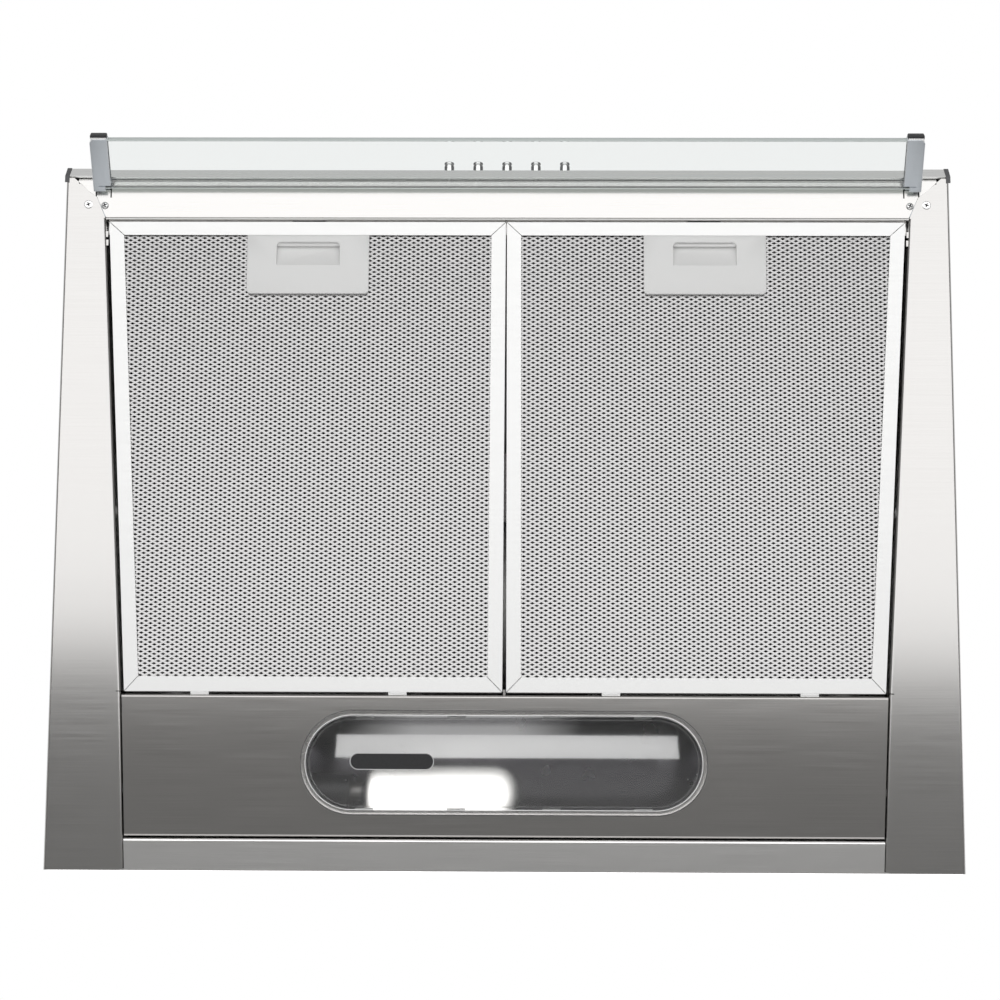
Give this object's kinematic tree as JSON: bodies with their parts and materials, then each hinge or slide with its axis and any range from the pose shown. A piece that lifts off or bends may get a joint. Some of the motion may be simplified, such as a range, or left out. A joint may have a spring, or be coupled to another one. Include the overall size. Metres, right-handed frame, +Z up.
{
  "type": "range hood",
  "caption": "Flat wall range hood seen from below: tapered mesh grease filters, lamp panel with a long clear lens, front fascia with push buttons, and a tilting glass visor.",
  "frame": {"origin": "on the plane of the wall the hood hangs on, at the middle of its width and level with its flat underside", "axes": "+Z up, front with the buttons towards -Y, +X to the right-hand side of someone facing the hood's rear wall"},
  "size_m": [0.6, 0.4888, 0.2034],
  "materials": {
    "satin_steel": "satin, brushed along X",
    "aluminium_profile": "fine anodised",
    "filter_alu": "bright rolled",
    "mesh_alu": "expanded metal",
    "chrome": "polished",
    "clear_lens": "clear moulded",
    "visor_pane": "clear, ground edges",
    "bulb_glass": "frosted",
    "light_plastic": "fine grain",
    "dark_plastic": "fine grain",
    "black_plastic": "fine grain",
    "satin_grey": "satin",
    "brass_cap": "plain"
  },
  "bodies": {
    "hood_body": {"side_panel_left": "satin_steel", "side_panel_right": "satin_steel", "top_plate": "satin_steel", "slope_plate": "satin_steel", "front_plate": "satin_steel", "back_panel": "satin_steel", "front_rail": "satin_steel", "fascia": "aluminium_profile", "fascia_cap_left": "dark_plastic", "fascia_cap_right": "dark_plastic", "lamp_panel": "satin_steel", "lamp_lens": "clear_lens", "lamp_housing": "satin_steel", "lamp_reflector": "filter_alu", "lamp_holder": "black_plastic", "lamp_bulb": "bulb_glass", "lamp_bulb_cap": "brass_cap", "switch_block": "black_plastic", "hinge_block_left": "satin_grey", "hinge_block_right": "satin_grey", "visor_pins": "chrome", "blower_housing": "light_plastic", "inlet_rings": "light_plastic", "motor": "satin_grey", "motor_bracket": "satin_grey", "outlet_flange": "dark_plastic", "outlet_collar": "dark_plastic", "flap_pin": "chrome", "terminal_box": "light_plastic", "cable_gland": "black_plastic", "corner_screws": "chrome"},
    "visor": {"visor_glass": "visor_pane", "visor_bracket_left": "satin_grey", "visor_bracket_right": "satin_grey", "visor_tips": "black_plastic"},
    "filter_left": {"filter_frame_left": "filter_alu", "filter_mesh_left": "mesh_alu", "filter_foil_left": "mesh_alu", "filter_handle_left": "light_plastic"},
    "filter_right": {"filter_frame_right": "filter_alu", "filter_mesh_right": "mesh_alu", "filter_foil_right": "mesh_alu", "filter_handle_right": "light_plastic"},
    "latch_slide_left": {"latch_left": "light_plastic"},
    "latch_slide_right": {"latch_right": "light_plastic"},
    "fan_wheel": {"impeller": "dark_plastic", "impeller_hub": "dark_plastic", "motor_shaft": "chrome"},
    "damper_front": {"flap_front": "light_plastic"},
    "damper_back": {"flap_back": "light_plastic"},
    "push_1": {"button_1": "chrome"},
    "push_2": {"button_2": "chrome"},
    "push_3": {"button_3": "chrome"},
    "push_4": {"button_4": "chrome"},
    "push_5": {"button_5": "chrome"}
  },
  "joints": [
    {"name": "visor_tilt", "type": "hinge", "parent": "hood_body", "child": "visor", "pos_m": [0, -0.4636, 0.005], "axis": [1, 0, 0], "range_deg": [-40, 0]},
    {"name": "filter_left_drop", "type": "hinge", "parent": "hood_body", "child": "filter_left", "pos_m": [-0.135, -0.1159, 0.0014], "axis": [1, 0, 0], "range_deg": [0, 60]},
    {"name": "latch_left_pull", "type": "slide", "parent": "filter_left", "child": "latch_slide_left", "axis": [0, 1, 0], "range_m": [0, 0.004], "stiffness_N_per_m": 500, "springref_m": -0.003},
    {"name": "filter_right_drop", "type": "hinge", "parent": "hood_body", "child": "filter_right", "pos_m": [0.135, -0.1159, 0.0014], "axis": [1, 0, 0], "range_deg": [0, 60]},
    {"name": "latch_right_pull", "type": "slide", "parent": "filter_right", "child": "latch_slide_right", "axis": [0, 1, 0], "range_m": [0, 0.004], "stiffness_N_per_m": 500, "springref_m": -0.003},
    {"name": "button_1_press", "type": "slide", "parent": "hood_body", "child": "push_1", "axis": [0, 1, 0], "range_m": [0, 0.003], "stiffness_N_per_m": 600, "springref_m": -0.002},
    {"name": "button_2_press", "type": "slide", "parent": "hood_body", "child": "push_2", "axis": [0, 1, 0], "range_m": [0, 0.003], "stiffness_N_per_m": 600, "springref_m": -0.002},
    {"name": "button_3_press", "type": "slide", "parent": "hood_body", "child": "push_3", "axis": [0, 1, 0], "range_m": [0, 0.003], "stiffness_N_per_m": 600, "springref_m": -0.002},
    {"name": "button_4_press", "type": "slide", "parent": "hood_body", "child": "push_4", "axis": [0, 1, 0], "range_m": [0, 0.003], "stiffness_N_per_m": 600, "springref_m": -0.002},
    {"name": "button_5_press", "type": "slide", "parent": "hood_body", "child": "push_5", "axis": [0, 1, 0], "range_m": [0, 0.003], "stiffness_N_per_m": 600, "springref_m": -0.002},
    {"name": "fan_spin", "type": "hinge", "parent": "hood_body", "child": "fan_wheel", "pos_m": [0, -0.185, 0.07], "axis": [1, 0, 0], "continuous": true},
    {"name": "damper_back_lift", "type": "hinge", "parent": "hood_body", "child": "damper_back", "pos_m": [0, -0.15, 0.148], "axis": [1, 0, 0], "range_deg": [0, 75]},
    {"name": "damper_front_lift", "type": "hinge", "parent": "hood_body", "child": "damper_front", "pos_m": [0, -0.15, 0.148], "axis": [-1, 0, 0], "range_deg": [0, 75]}
  ]
}
